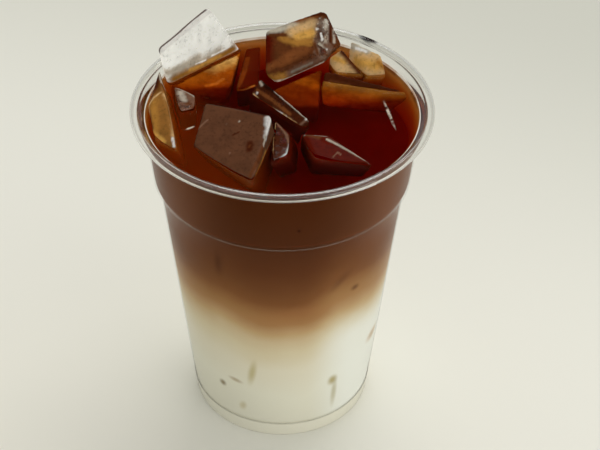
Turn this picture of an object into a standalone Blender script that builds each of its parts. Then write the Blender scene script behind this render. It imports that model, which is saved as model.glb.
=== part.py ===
# Iced coffee over milk in a clear plastic cup, with broken ice cubes standing out of the drink.
# Blender 4.5, metres, +Z up. The origin is the middle of the foot, on the table.

import bpy
import bmesh
from math import cos, radians, sin
from mathutils import Vector

MM = 0.001
SIDES = 64                  # facets round the cup and round each layer of the drink
GAP = 0.3 * MM              # between pieces that touch

# The cup, a thin sheet pressed to shape
WALL = 0.6 * MM
RIM_TOP = 121.0 * MM
RIM_RADIUS = 49.0 * MM
ROLL_RADIUS = 1.5 * MM      # of the rim's rolled edge
ROLL_FROM = 195.0           # degrees, where the wall runs into the roll
ROLL_TO = -75.0             # degrees, where the roll ends, open below
ROLL_STEPS = 12
FOOT_RADIUS = 30.9 * MM
FOOT_WALL = 1.3 * MM        # the sheet is folded double in the foot
FOOT_ROUND = 0.4 * MM
FOOT_FLAT = 0.2 * MM
BASE_UNDER = 4.4 * MM       # underside of the floor of the cup
LEDGE_HEIGHT = 94.0 * MM    # the step that keeps stacked cups apart
LEDGE_RISE = 0.7 * MM
LEDGE_STEP = 1.5 * MM
LOWER_TAPER = 0.1065        # radius gained for each metre of height, below the ledge
UPPER_TAPER = 0.100         # and above it
BAND_TOP = 117.3 * MM       # where the wall starts to flare into the roll

# The drink
MILK_TOP = 46.0 * MM
MIXED_TOP = 72.0 * MM
LEVEL = 116.0 * MM
FLOOR_CORNER = 1.0 * MM     # radius gained from the floor of the cup to its wall

# The ice
EDGE_ROUND = 1.1 * MM
EDGE_STEPS = 2
EDGE_ANGLE = 25.0           # degrees, flatter folds stay as they are
SCRAP = 0.05                # share of a solid's corners below which a loose bit is dropped

# Ice cubes in mm. "upper" holds the upper face's corners: left back, right back, right front, left front.
# "run" is the way from that face to the lower one, and "narrow" the lower face's size beside the upper's.
# A piece broken askew has its lower corners named instead.
ICE = {
    "ice_front_left": {
        "upper": [(-25.0, -0.5, 122.0), (-3.5, -10.5, 124.0), (-9.5, -38.5, 115.5), (-28.5, -17.5, 116.8)],
        "run": (4.5, 4.0, -17.0),
        "narrow": 0.9,
    },
    "ice_back_left": {
        "upper": [(-39.0, 13.5, 131.0), (-23.0, 29.0, 137.0), (-13.5, 39.0, 113.5), (-36.5, 18.0, 113.5)],
        "lower": [(-41.0, 18.5, 129.5), (-25.0, 34.5, 135.5), (-14.5, 40.5, 113.5), (-38.5, 19.0, 113.5)],
    },
    "ice_back_left_low": {
        "upper": [(-37.5, 20.0, 115.0), (-14.0, 40.0, 115.2), (-17.0, 19.0, 112.8), (-34.0, 16.5, 112.5)],
        "run": (0.0, -1.0, -13.0),
        "narrow": 0.9,
    },
    "ice_back": {
        "upper": [(-6.0, 29.0, 130.0), (14.5, 36.5, 134.0), (10.0, 23.5, 124.0), (-6.0, 17.5, 119.5)],
        "lower": [(-1.0, 33.0, 112.0), (20.5, 32.5, 122.0), (14.5, 26.0, 119.0), (-2.0, 17.5, 116.0)],
    },
    "ice_right": {
        "upper": [(14.0, 22.0, 119.2), (41.5, 12.5, 117.2), (41.5, 11.0, 113.8), (12.5, 16.5, 114.0)],
        "lower": [(17.0, 20.0, 102.0), (36.0, 12.0, 102.0), (35.0, 12.5, 109.0), (13.0, 10.0, 109.0)],
    },
    "ice_right_low": {
        "upper": [(-3.5, 16.0, 114.3), (13.5, 28.5, 114.8), (12.0, 8.0, 111.8), (1.0, 8.5, 110.5)],
        "run": (0.0, -1.0, -12.0),
        "narrow": 0.9,
    },
    "ice_middle": {
        "upper": [(-7.5, 14.5, 121.0), (9.0, -6.0, 118.5), (6.5, -8.0, 116.0), (-11.0, 11.5, 116.0)],
        "run": (-1.0, 3.0, -16.0),
        "narrow": 0.95,
    },
    "ice_left": {
        "upper": [(-43.5, 1.0, 119.5), (-40.5, 16.0, 124.0), (-33.0, -20.0, 117.0), (-40.3, -15.5, 115.5)],
        "run": (3.5, 0.0, -14.0),
        "narrow": 0.95,
    },
    "ice_front_right": {
        "upper": [(6.0, -11.5, 117.5), (15.0, -12.5, 117.5), (28.5, -27.5, 117.0), (9.5, -25.0, 116.0)],
        "run": (-1.0, 4.0, -15.0),
        "narrow": 0.9,
    },
    "ice_back_right": {
        "upper": [(15.5, 30.0, 119.0), (20.0, 31.0, 122.0), (27.5, 22.5, 116.5), (18.0, 23.0, 115.5)],
        "run": (0.0, 2.0, -16.0),
        "narrow": 0.9,
    },
    "ice_far_right": {
        "upper": [(22.5, 35.5, 123.0), (33.3, 28.0, 121.5), (35.0, 22.5, 116.2), (28.0, 21.5, 116.0)],
        "run": (-3.0, -4.0, -16.0),
        "narrow": 0.85,
    },
    "ice_middle_small": {
        "upper": [(-2.5, -3.5, 117.5), (2.5, -10.5, 117.0), (2.0, -23.5, 116.5), (-4.0, -27.0, 116.5)],
        "run": (3.0, 2.0, -14.0),
        "narrow": 0.9,
    },
    "ice_left_small": {
        "upper": [(-36.0, 15.5, 117.5), (-28.5, 10.5, 117.0), (-27.5, 1.5, 116.5), (-33.5, -0.5, 116.5)],
        "run": (0.0, 1.0, -14.0),
        "narrow": 0.9,
    },
    "ice_back_small": {
        "upper": [(-12.5, 40.5, 114.5), (-7.5, 41.5, 115.3), (-8.0, 17.5, 114.5), (-15.5, 16.0, 114.5)],
        "run": (0.0, -1.5, -14.0),
        "narrow": 0.9,
    },
}


def clear_scene():
    for obj in list(bpy.data.objects):
        bpy.data.objects.remove(obj, do_unlink=True)


def make_material(name, color, roughness, alpha=1.0, transmission=0.0, ior=1.45):
    material = bpy.data.materials.new(name)
    material.use_nodes = True
    shader = material.node_tree.nodes["Principled BSDF"]
    shader.inputs["Base Color"].default_value = (*color, 1.0)
    shader.inputs["Roughness"].default_value = roughness
    shader.inputs["Metallic"].default_value = 0.0
    shader.inputs["Alpha"].default_value = alpha
    shader.inputs["Transmission Weight"].default_value = transmission
    shader.inputs["IOR"].default_value = ior
    return material


def new_object(name, bm, material):
    mesh = bpy.data.meshes.new(name)
    bmesh.ops.recalc_face_normals(bm, faces=bm.faces)
    bm.to_mesh(mesh)
    bm.free()
    obj = bpy.data.objects.new(name, mesh)
    bpy.context.scene.collection.objects.link(obj)
    if material is not None:
        mesh.materials.append(material)
    return obj


def wall_radius(height):
    """Outer radius of the cup's wall at a height."""
    if height < LEDGE_HEIGHT:
        return FOOT_RADIUS + LOWER_TAPER * height
    return FOOT_RADIUS + LOWER_TAPER * LEDGE_HEIGHT + LEDGE_STEP + UPPER_TAPER * (height - LEDGE_HEIGHT)


def turned(name, outline, material):
    """A solid turned round Z from (radius, height) points; points on the axis become the poles."""
    bm = bmesh.new()
    rings = []
    for radius, height in outline:
        if radius < 1e-7:
            rings.append([bm.verts.new((0.0, 0.0, height))])
            continue
        turn = [radians(360.0 * side / SIDES) for side in range(SIDES)]
        rings.append([bm.verts.new((radius * cos(a), radius * sin(a), height)) for a in turn])
    closed = len(rings[0]) > 1
    pairs = list(zip(rings, rings[1:] + rings[:1])) if closed else list(zip(rings, rings[1:]))
    for ring, after in pairs:
        for side in range(SIDES):
            follow = (side + 1) % SIDES
            corners = [ring[side % len(ring)], ring[follow % len(ring)]]
            corners += [after[follow % len(after)], after[side % len(after)]]
            face = [v for i, v in enumerate(corners) if v not in corners[:i]]
            if len(face) > 2:
                bm.faces.new(face)
    obj = new_object(name, bm, material)
    obj.data.shade_smooth()
    obj.data.set_sharp_from_angle(angle=radians(35.0))
    return obj


def roll_points(radius):
    """The rim's rolled edge, from the wall over the top to its open end."""
    middle_r = RIM_RADIUS - ROLL_RADIUS
    middle_z = RIM_TOP - ROLL_RADIUS
    angles = [radians(ROLL_FROM + (ROLL_TO - ROLL_FROM) * i / ROLL_STEPS) for i in range(ROLL_STEPS + 1)]
    return [(middle_r + radius * cos(a), middle_z + radius * sin(a)) for a in angles]


def build_cup(material):
    ledge_top = LEDGE_HEIGHT + LEDGE_RISE
    floor = BASE_UNDER + WALL
    foot = FOOT_RADIUS
    inside_roll = roll_points(ROLL_RADIUS - WALL)
    outside_roll = roll_points(ROLL_RADIUS)
    outline = [
        (0.0, BASE_UNDER),
        (foot - FOOT_WALL - FOOT_FLAT, BASE_UNDER),
        (foot - FOOT_WALL, BASE_UNDER - FOOT_FLAT),
        (foot - FOOT_WALL, 0.0),
        (foot - FOOT_ROUND, 0.0),
        (foot, FOOT_ROUND),
        (wall_radius(LEDGE_HEIGHT - LEDGE_RISE), LEDGE_HEIGHT - LEDGE_RISE),
        (wall_radius(ledge_top) - LEDGE_RISE, LEDGE_HEIGHT),
        (wall_radius(ledge_top), ledge_top),
        (wall_radius(BAND_TOP), BAND_TOP),
    ]
    outline += inside_roll
    outline += outside_roll[::-1]
    outline += [
        (wall_radius(BAND_TOP) - WALL, BAND_TOP + WALL),
        (wall_radius(ledge_top) - WALL, ledge_top + WALL / 2),
        (wall_radius(ledge_top) - LEDGE_RISE - WALL, LEDGE_HEIGHT + WALL),
        (wall_radius(LEDGE_HEIGHT - LEDGE_RISE) - WALL, LEDGE_HEIGHT - LEDGE_RISE + WALL / 2),
        (wall_radius(floor + FLOOR_CORNER) - WALL, floor + FLOOR_CORNER),
        (wall_radius(floor) - WALL - FLOOR_CORNER, floor),
        (0.0, floor),
    ]
    return turned("cup", outline, material)


def drink_radius(height):
    return wall_radius(height) - WALL - GAP


def build_layer(name, bottom, top, material):
    """One layer of the drink, from just over what is below it to its top."""
    outline = [(0.0, bottom)]
    if bottom < MILK_TOP / 2:
        outline.append((drink_radius(bottom) - FLOOR_CORNER, bottom))
        outline.append((drink_radius(bottom + FLOOR_CORNER), bottom + FLOOR_CORNER))
    else:
        outline.append((drink_radius(bottom), bottom))
    if top > LEDGE_HEIGHT:
        ledge_top = LEDGE_HEIGHT + LEDGE_RISE
        low = LEDGE_HEIGHT - LEDGE_RISE
        outline.append((drink_radius(low), low + WALL))
        outline.append((drink_radius(ledge_top) - LEDGE_RISE, LEDGE_HEIGHT + 2 * WALL))
        outline.append((drink_radius(ledge_top), ledge_top + WALL))
    outline += [(drink_radius(top), top), (0.0, top)]
    return turned(name, outline, material)


def ice_corners(cube):
    upper = [Vector(corner) * MM for corner in cube["upper"]]
    if "lower" in cube:
        return upper + [Vector(corner) * MM for corner in cube["lower"]]
    lower = [corner + Vector(cube["run"]) * MM for corner in upper]
    middle = sum(lower, Vector()) / len(lower)
    scale = Vector((cube["narrow"], cube["narrow"], 1.0))
    return upper + [middle + (corner - middle) * scale for corner in lower]


def ice_block(name, cube, grow, material):
    """A block with flat faces between its corners, its faces moved out by grow."""
    bm = bmesh.new()
    for corner in ice_corners(cube):
        bm.verts.new(corner)
    bmesh.ops.convex_hull(bm, input=bm.verts)
    bmesh.ops.recalc_face_normals(bm, faces=bm.faces)
    bm.normal_update()
    moves = [(v, v.normal * grow * v.calc_shell_factor()) for v in bm.verts]
    for vert, move in moves:
        vert.co += move
    return new_object(name, bm, material)


def add_cut(obj, cutter):
    cut = obj.modifiers.new("clear_of_" + cutter.name, "BOOLEAN")
    cut.operation = "DIFFERENCE"
    cut.solver = "EXACT"
    cut.object = cutter


def boxes_meet(first, second):
    def span(cube, axis):
        values = [corner[axis] for corner in ice_corners(cube)]
        return min(values) - 2 * GAP, max(values) + 2 * GAP
    for axis in range(3):
        low_a, high_a = span(first, axis)
        low_b, high_b = span(second, axis)
        if high_a < low_b or high_b < low_a:
            return False
    return True


def apply_modifiers(obj):
    """Fix the modifiers' result as the object's mesh and drop loose scraps that a cut left."""
    bpy.context.view_layer.update()
    result = bpy.data.meshes.new_from_object(obj.evaluated_get(bpy.context.evaluated_depsgraph_get()))
    obj.modifiers.clear()
    bm = bmesh.new()
    bm.from_mesh(result)
    bmesh.ops.remove_doubles(bm, verts=bm.verts, dist=0.00001)
    for island in islands(bm):
        if len(island) < SCRAP * len(bm.verts):
            bmesh.ops.delete(bm, geom=list(island), context="VERTS")
    bm.to_mesh(obj.data)
    bm.free()
    bpy.data.meshes.remove(result)


def islands(bm):
    left = set(bm.verts)
    found = []
    while left:
        start = left.pop()
        island = {start}
        edge = [start]
        while edge:
            vert = edge.pop()
            for link in vert.link_edges:
                other = link.other_vert(vert)
                if other in left:
                    left.remove(other)
                    island.add(other)
                    edge.append(other)
        found.append(island)
    return found


def build_ice(material):
    """All cubes; each later one is cut clear of the ones before it. Returns their cutters."""
    cutters = {}
    for name, cube in ICE.items():
        block = ice_block(name, cube, 0.0, material)
        bevel = block.modifiers.new("worn_edges", "BEVEL")
        bevel.width = EDGE_ROUND
        bevel.segments = EDGE_STEPS
        bevel.limit_method = "ANGLE"
        bevel.angle_limit = radians(EDGE_ANGLE)
        for other, cutter in cutters.items():
            if boxes_meet(cube, ICE[other]):
                add_cut(block, cutter)
        apply_modifiers(block)
        cutter = ice_block("room_for_" + name, cube, GAP, None)
        cutter.hide_render = True
        cutter.display_type = "WIRE"
        cutters[name] = cutter
    return cutters


def main():
    clear_scene()
    plastic = make_material("clear_plastic", (0.93, 0.94, 0.93), 0.04, alpha=0.25, ior=1.57)
    milk_white = make_material("milk", (0.62, 0.57, 0.44), 0.25)
    mixed_tan = make_material("milk_and_coffee", (0.27, 0.15, 0.075), 0.25)
    coffee_brown = make_material("black_coffee", (0.045, 0.012, 0.004), 0.08)
    ice_clear = make_material("ice", (0.55, 0.42, 0.33), 0.06, alpha=0.6, ior=1.31)

    build_cup(plastic)
    cutters = build_ice(ice_clear)
    build_layer("milk", BASE_UNDER + WALL + GAP, MILK_TOP, milk_white)
    build_layer("mixed", MILK_TOP + GAP, MIXED_TOP, mixed_tan)
    coffee = build_layer("coffee", MIXED_TOP + GAP, LEVEL, coffee_brown)
    for cutter in cutters.values():
        add_cut(coffee, cutter)
    apply_modifiers(coffee)


main()
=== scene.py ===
# Iced coffee over milk in a clear plastic cup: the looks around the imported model
from math import cos, exp, pi, radians, sin

import bmesh
import bpy
from mathutils import Matrix, Vector, kdtree, noise
from mathutils.bvhtree import BVHTree


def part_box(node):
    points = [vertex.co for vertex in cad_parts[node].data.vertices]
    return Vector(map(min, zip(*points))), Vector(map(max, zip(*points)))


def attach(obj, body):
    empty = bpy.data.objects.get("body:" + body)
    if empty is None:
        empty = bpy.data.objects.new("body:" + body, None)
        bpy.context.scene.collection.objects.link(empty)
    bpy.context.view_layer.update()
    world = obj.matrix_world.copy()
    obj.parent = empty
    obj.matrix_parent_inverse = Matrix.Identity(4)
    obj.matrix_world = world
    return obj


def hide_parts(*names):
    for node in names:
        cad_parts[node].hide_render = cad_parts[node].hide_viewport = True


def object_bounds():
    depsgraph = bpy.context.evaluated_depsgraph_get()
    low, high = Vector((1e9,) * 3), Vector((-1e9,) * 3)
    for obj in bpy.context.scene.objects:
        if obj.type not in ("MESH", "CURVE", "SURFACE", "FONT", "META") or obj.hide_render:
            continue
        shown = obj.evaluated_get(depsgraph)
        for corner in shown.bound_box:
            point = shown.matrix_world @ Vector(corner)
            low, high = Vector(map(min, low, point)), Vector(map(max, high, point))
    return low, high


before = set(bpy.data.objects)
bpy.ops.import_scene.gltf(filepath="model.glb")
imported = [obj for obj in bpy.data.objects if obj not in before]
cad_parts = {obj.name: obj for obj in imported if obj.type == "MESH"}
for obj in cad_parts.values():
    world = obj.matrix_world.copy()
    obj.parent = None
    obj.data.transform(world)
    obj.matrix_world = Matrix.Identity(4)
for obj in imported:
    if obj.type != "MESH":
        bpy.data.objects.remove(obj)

mm = 0.001
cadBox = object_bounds()
scene = bpy.context.scene


# Small shader kit: one class wraps a socket so that maths reads as maths, the other builds a node tree
class Value:
    def __init__(self, look, socket):
        self.look = look
        self.socket = socket

    def math(self, operation, first, second=0.0):
        return self.look.node("ShaderNodeMath", {"operation": operation}, {0: first, 1: second})

    def __add__(self, other):
        return self.math("ADD", self, other)

    def __radd__(self, other):
        return self.math("ADD", other, self)

    def __sub__(self, other):
        return self.math("SUBTRACT", self, other)

    def __rsub__(self, other):
        return self.math("SUBTRACT", other, self)

    def __mul__(self, other):
        return self.math("MULTIPLY", self, other)

    def __rmul__(self, other):
        return self.math("MULTIPLY", other, self)

    def __truediv__(self, other):
        return self.math("DIVIDE", self, other)

    def __rtruediv__(self, other):
        return self.math("DIVIDE", other, self)

    def __pow__(self, other):
        return self.math("POWER", self, other)

    def __rpow__(self, other):
        return self.math("POWER", other, self)

    def atLeast(self, other):
        return self.math("MAXIMUM", self, other)

    def atMost(self, other):
        return self.math("MINIMUM", self, other)


class Look:
    def __init__(self, name):
        self.material = bpy.data.materials.new(name)
        self.material.use_nodes = True
        self.tree = self.material.node_tree
        self.tree.nodes.clear()
        self.end = self.tree.nodes.new("ShaderNodeOutputMaterial")
        self.coords = self.node("ShaderNodeTexCoord", out="Object")

    def node(self, kind, settings=None, sockets=None, out=0):
        made = self.tree.nodes.new(kind)
        for name, value in (settings or {}).items():
            if name == "stops":
                self.setStops(made.color_ramp, value)
            else:
                setattr(made, name, value)
        for key, value in (sockets or {}).items():
            if isinstance(value, Value):
                self.tree.links.new(value.socket, made.inputs[key])
            else:
                made.inputs[key].default_value = value
        return Value(self, made.outputs[out])

    def setStops(self, ramp, stops):
        while len(ramp.elements) < len(stops):
            ramp.elements.new(1.0)
        for element, (place, color) in zip(ramp.elements, stops):
            element.position = place
            element.color = (*color, 1.0)

    def axis(self, name):
        return self.node("ShaderNodeSeparateXYZ", sockets={0: self.coords}, out=name)

    def noise(self, scale, detail=3.0, roughness=0.5, stretch=(1.0, 1.0, 1.0)):
        place = self.node("ShaderNodeMapping", sockets={"Vector": self.coords, "Scale": stretch})
        return self.node("ShaderNodeTexNoise", sockets={"Vector": place, "Scale": scale, "Detail": detail,
                                                        "Roughness": roughness})

    def step(self, value, low, high):
        return self.node("ShaderNodeMapRange", {"interpolation_type": "SMOOTHSTEP"},
                         {"Value": value, "From Min": low, "From Max": high})

    def band(self, value, stops):
        start, full, last, end = stops
        return self.step(value, start, full) * self.step(value, end, last)

    def mixColors(self, factor, first, second):
        made = self.tree.nodes.new("ShaderNodeMix")
        made.data_type = "RGBA"
        for key, value in {0: factor, 6: first, 7: second}.items():
            if isinstance(value, Value):
                self.tree.links.new(value.socket, made.inputs[key])
            else:
                made.inputs[key].default_value = value if key == 0 else (*value, 1.0)
        return Value(self, made.outputs[2])

    def mixShaders(self, factor, first, second):
        return self.node("ShaderNodeMixShader", sockets={0: factor, 1: first, 2: second})

    def matte(self, color):
        # no shine at all; a color that varies goes in by Base Color
        return self.node("ShaderNodeBsdfPrincipled", sockets={
            "Base Color": color if isinstance(color, Value) else (*color, 1),
            "Roughness": 1.0, "Specular IOR Level": 0.0})

    def clear(self, tint=(1, 1, 1)):
        return self.node("ShaderNodeBsdfTransparent", sockets={"Color": (*tint, 1)})

    def backLit(self, color, **more):
        return self.node("ShaderNodeBsdfTranslucent", sockets={"Color": (*color, 1), **more})

    def bump(self, height, distance, strength=1.0):
        return self.node("ShaderNodeBump", sockets={"Height": height, "Distance": distance, "Strength": strength})

    def spot(self, place, size, turn=(0.0, 0.0, 0.0), core=0.4):
        # 1 in the middle of an oval at a place on the piece, 0 outside it
        local = self.node("ShaderNodeMapping", {"vector_type": "TEXTURE"}, {
            "Vector": self.coords, "Location": place, "Rotation": turn, "Scale": size})
        reach = self.node("ShaderNodeVectorMath", {"operation": "LENGTH"}, {0: local}, out="Value")
        return self.step(reach, 1.0, core)

    def lightThrough(self, shader, tint):
        # eye and mirror rays bend, light on its way to what lies inside goes straight on
        shadow = self.node("ShaderNodeLightPath", out="Is Shadow Ray")
        soft = self.node("ShaderNodeLightPath", out="Is Diffuse Ray")
        return self.mixShaders(shadow.atLeast(soft), shader, self.clear(tint))

    def surface(self, shader):
        self.tree.links.new(shader.socket, self.end.inputs["Surface"])
        return self

    def volume(self, shader):
        self.tree.links.new(shader.socket, self.end.inputs["Volume"])
        return self


def srgb(red, green, blue):
    def linear(level):
        level /= 255
        return level / 12.92 if level <= 0.04045 else ((level + 0.055) / 1.055) ** 2.4
    return linear(red), linear(green), linear(blue)


def newPiece(name, bm, looks):
    mesh = bpy.data.meshes.new(name)
    bm.to_mesh(mesh)
    bm.free()
    for look in looks:
        mesh.materials.append(look.material)
    mesh.shade_smooth()
    mesh.set_sharp_from_angle(angle=radians(40))
    piece = bpy.data.objects.new(name, mesh)
    scene.collection.objects.link(piece)
    return piece


def turnedMesh(outline, sides, slots=None):
    # a closed mesh turned round Z from (radius, height) points, first and last on the axis or joined
    bm = bmesh.new()
    turns = [2 * pi * side / sides for side in range(sides)]
    rings = []
    for radius, height in outline:
        if radius < 1e-7:
            rings.append([bm.verts.new((0, 0, height))])
        else:
            rings.append([bm.verts.new((radius * cos(a), radius * sin(a), height)) for a in turns])
    after = rings[1:] if len(rings[0]) == 1 else rings[1:] + rings[:1]
    for index, (low, high) in enumerate(zip(rings, after)):
        for side in range(sides):
            follow = (side + 1) % sides
            corners = [low[side % len(low)], low[follow % len(low)]]
            corners += [high[follow % len(high)], high[side % len(high)]]
            face = bm.faces.new(list(dict.fromkeys(corners)))
            face.material_index = slots[index] if slots else 0
    bmesh.ops.recalc_face_normals(bm, faces=bm.faces)
    return bm


def sCurve(low, high, steps=8):
    points = []
    for i in range(steps + 1):
        t = i / steps
        out = t * t * (3 - 2 * t)
        points.append((low[0] + (high[0] - low[0]) * out, low[1] + (high[1] - low[1]) * t))
    return points


def evaluated(piece):
    bpy.context.view_layer.update()
    mesh = bpy.data.meshes.new_from_object(piece.evaluated_get(bpy.context.evaluated_depsgraph_get()))
    piece.modifiers.clear()
    old = piece.data
    piece.data = mesh
    bpy.data.meshes.remove(old)


# The cup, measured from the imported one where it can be
cup = {
    "sides": 224,
    "wall": 0.6 * mm,
    "rollRadius": 1.5 * mm,
    "rollFrom": 195,          # degrees
    "rollTo": -75,
    "rollSteps": 26,
    "footRadius": 30.9 * mm,
    "footWall": 1.3 * mm,
    "footRound": 0.4 * mm,
    "baseUnder": 4.4 * mm,
    "ledgeHeight": 94 * mm,
    "ledgeRise": 0.7 * mm,
    "ledgeStep": 1.5 * mm,
    "lowerTaper": 0.1065,
    "upperTaper": 0.100,
    "bandTop": 117.3 * mm,
    "ior": 1.46,
    "clear": (0.985, 0.987, 0.983),
    "rollTint": (0.88, 0.875, 0.855),
    "rollShadow": (0.93, 0.93, 0.92),
    "edgeShine": 0.7,
    "stain": srgb(176, 112, 40),
    "film": (0.16, 0.3, 0.45),    # of coffee left at the back: least, more in patches, more again at the right
    "filmBand": (114.5 * mm, 116.5 * mm, 117.5 * mm, 120.3 * mm),  # a band's heights: out, full, full, out
    "wash": 0.2,
    "washBand": (115 * mm, 116 * mm, 119 * mm, 121 * mm),
    # the colour of the painted highlight along the ledge
    "paintedLight": srgb(246, 244, 230),
    "creaseHighlight": 0.22,           # painted highlight: a pale line along the ledge's fold
    "creaseHighlightBand": (93.05 * mm, 93.3 * mm, 93.5 * mm, 93.85 * mm),
    "skirt": srgb(232, 229, 212),
    "skirtLight": 0.95,        # painted light: how much a pale sheet hides the shaded floor seen through the foot
    "skirtFade": (0.9 * mm, 2.6 * mm),  # over the base
    "drop": srgb(30, 13, 7),  # dried coffee on the rim
    "dropAt": (28.6 * mm, 38.9 * mm),
    "dropSize": (6.2 * mm, 1.1 * mm, 3 * mm),
    "dropTurn": -49,          # degrees
}
rimRadius = cadBox[1][0]
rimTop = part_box("cup")[1].z
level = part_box("coffee")[1].z


def wallRadius(height):
    below = cup["footRadius"] + cup["lowerTaper"] * min(height, cup["ledgeHeight"])
    if height < cup["ledgeHeight"]:
        return below
    return below + cup["ledgeStep"] + cup["upperTaper"] * (height - cup["ledgeHeight"])


def cupLooks():
    wall = Look("clearWall")
    grain = wall.noise(55, 2, 0.5, (1, 1, 0.25))
    normal = wall.bump(grain, 0.1 * mm, 0.25)
    height = wall.axis("Z")
    across = wall.axis("X")
    patches = wall.noise(95, 3, 0.6)
    back = wall.step(wall.axis("Y"), -8 * mm, 18 * mm)
    right = wall.step(across, 14 * mm, 30 * mm)
    least, patchy, atRight = cup["film"]
    film = least + (patchy + right * atRight) * wall.step(patches, 0.35, 0.65)
    film = film * back * wall.band(height, cup["filmBand"])
    film = film.atLeast(back * wall.band(height, cup["washBand"]) * cup["wash"])
    mirror = wall.node("ShaderNodeBsdfGlossy", sockets={"Roughness": 0.06, "Normal": normal})
    facing = wall.node("ShaderNodeLayerWeight", sockets={"Blend": 0.5, "Normal": normal}, out="Facing")
    body = wall.mixShaders(film, wall.clear(cup["clear"]), wall.clear(cup["stain"]))
    # painted highlight: a pale line along the ledge's fold
    creaseHighlight = wall.band(height, cup["creaseHighlightBand"]) * cup["creaseHighlight"]
    body = wall.mixShaders(creaseHighlight, body, wall.matte(cup["paintedLight"]))
    # painted light: the foot turned pale and opaque over the shade of the floor beneath the cup
    full, end = cup["skirtFade"]
    skirt = wall.step(height, cup["baseUnder"] + end, cup["baseUnder"] + full)
    body = wall.mixShaders(skirt * cup["skirtLight"], body, wall.matte(cup["skirt"]))
    wall.surface(wall.mixShaders(facing ** 6.0 * cup["edgeShine"], body, mirror))

    roll = Look("clearRoll")
    glass = roll.node("ShaderNodeBsdfPrincipled", sockets={
        "Base Color": (*cup["rollTint"], 1), "Roughness": 0.03, "IOR": cup["ior"], "Transmission Weight": 1.0})
    drop = roll.spot((*cup["dropAt"], rimTop), cup["dropSize"], (0, 0, radians(cup["dropTurn"])))
    glass = roll.mixShaders(drop, glass, roll.matte(cup["drop"]))
    roll.surface(roll.lightThrough(glass, cup["rollShadow"]))
    return [wall, roll]


def buildCup():
    wall = cup["wall"]
    foot = cup["footRadius"]
    ledge = cup["ledgeHeight"]
    rise = cup["ledgeRise"]
    floor = cup["baseUnder"] + wall
    middle = (rimRadius - cup["rollRadius"], rimTop - cup["rollRadius"])

    def wallAt(heights, inset=0.0):
        return [(wallRadius(z * mm) - inset, z * mm) for z in heights]

    def roll(radius):
        steps = cup["rollSteps"]
        turn = cup["rollTo"] - cup["rollFrom"]
        angles = [radians(cup["rollFrom"] + turn * i / steps) for i in range(steps + 1)]
        return [(middle[0] + radius * cos(a), middle[1] + radius * sin(a)) for a in angles]

    def ledgeCurve(inset, lift):
        return sCurve((wallRadius(ledge - rise) - inset, ledge - rise + lift),
                      (wallRadius(ledge + rise) - inset, ledge + rise + lift))

    outside = [(0, cup["baseUnder"]), (foot - cup["footWall"] - 0.5 * mm, cup["baseUnder"]),
               (foot - cup["footWall"], cup["baseUnder"] - 0.4 * mm), (foot - cup["footWall"], 0),
               (foot - cup["footRound"], 0), (foot - 0.1 * mm, 0.1 * mm), (foot, cup["footRound"])]
    outside += wallAt(range(4, 92, 8)) + ledgeCurve(0, 0) + wallAt((98, 104, 110, 115))
    outside += [(wallRadius(cup["bandTop"]), cup["bandTop"])]
    under = roll(cup["rollRadius"] - wall)
    over = roll(cup["rollRadius"])[::-1]
    inside = [(wallRadius(cup["bandTop"]) - wall, cup["bandTop"] + wall)]
    inside += wallAt((115, 110, 104, 98), wall) + ledgeCurve(wall, 0.3 * mm)[::-1] + wallAt(range(88, 8, -8), wall)
    inside += [(wallRadius(floor + mm) - wall, floor + mm), (wallRadius(floor) - wall - 0.3 * mm, floor + 0.3 * mm),
               (wallRadius(floor) - wall - mm, floor), (0, floor)]
    outline = outside + under + over + inside
    rollStart = len(outside) - 1
    rollEnd = len(outside) + len(under) + len(over)
    slots = [1 if rollStart <= i < rollEnd else 0 for i in range(len(outline))]
    shell = newPiece("clearCup", turnedMesh(outline, cup["sides"], slots), cupLooks())
    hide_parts("cup")
    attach(shell, "root")
    print("cup done,", len(shell.data.polygons), "faces")


# What shows on a face of the ice, or of the drink against it: frost, painted highlights and glints, painted shade, and
# painted light seen through
tones = {
    "white": (0.93, 0.94, 0.90),
    "shell": (0.60, 0.56, 0.45),
    "frost": (0.60, 0.53, 0.43),
    "cream": (0.74, 0.48, 0.22),
    "yellow": (0.74, 0.40, 0.09),
    "amber": (0.42, 0.19, 0.035),
    "honey": (0.28, 0.12, 0.025),
    "rust": (0.20, 0.062, 0.017),
    "tan": (0.20, 0.10, 0.062),
    "grey": (0.26, 0.225, 0.175),
    "smoke": (0.108, 0.042, 0.020),
    "wine": (0.085, 0.005, 0.001),
    "brown": (0.11, 0.032, 0.009),
    "umber": (0.060, 0.012, 0.003),
    "dark": (0.018, 0.003, 0.001),
    "clear": (0.34, 0.26, 0.20),
}
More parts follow.
